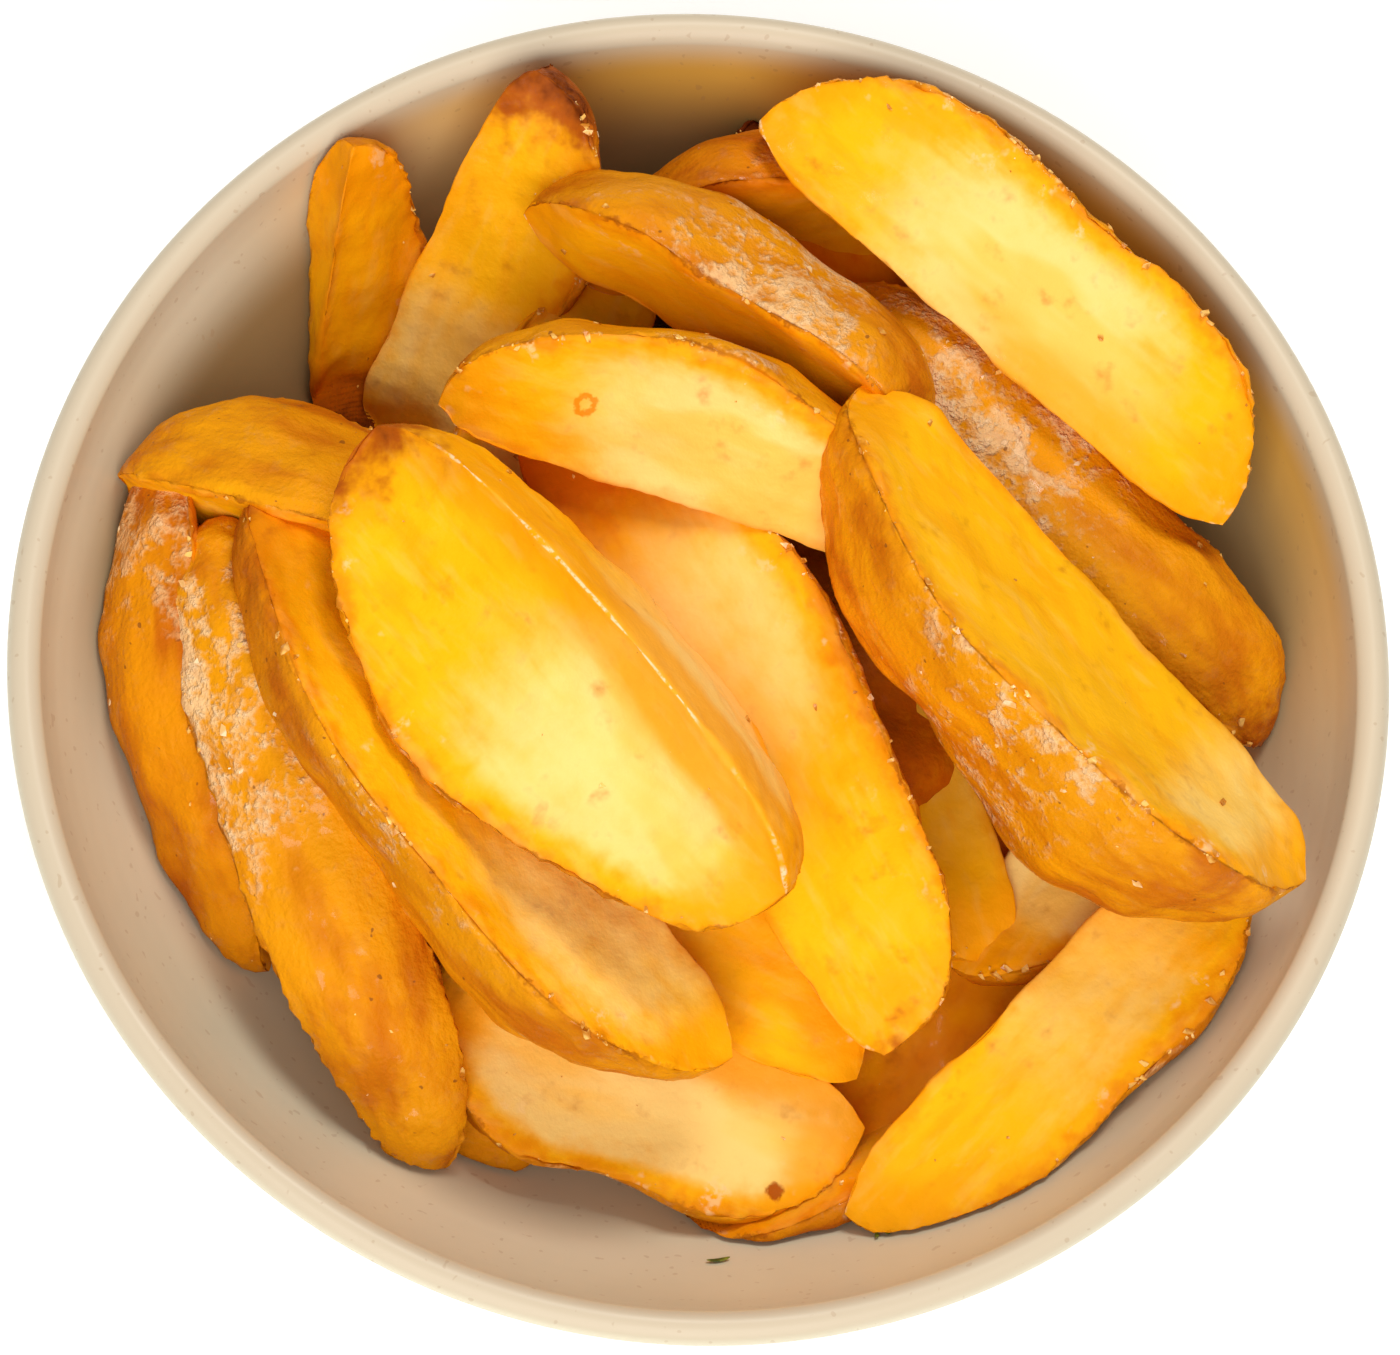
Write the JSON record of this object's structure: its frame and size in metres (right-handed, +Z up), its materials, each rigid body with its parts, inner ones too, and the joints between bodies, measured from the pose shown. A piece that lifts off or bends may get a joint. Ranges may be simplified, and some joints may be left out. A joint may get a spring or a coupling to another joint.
{
  "type": "bowl of fried potato wedges",
  "caption": "Round cream glazed serving bowl heaped above its rim with fried potato wedges, for serving as a side dish.",
  "frame": {"origin": "middle of the bowl's foot ring, on the plane it rests on", "axes": "+Z up along the bowl's axis, +X to the right and +Y away from someone who looks at the bowl from its front"},
  "size_m": [0.18, 0.18, 0.0879],
  "materials": {
    "cream_glaze": "glossy glazed stoneware",
    "fried_potato": "soft, lightly oiled"
  },
  "bodies": {
    "root": {"bowl": "cream_glaze", "potato_wedges": "fried_potato"}
  },
  "joints": []
}
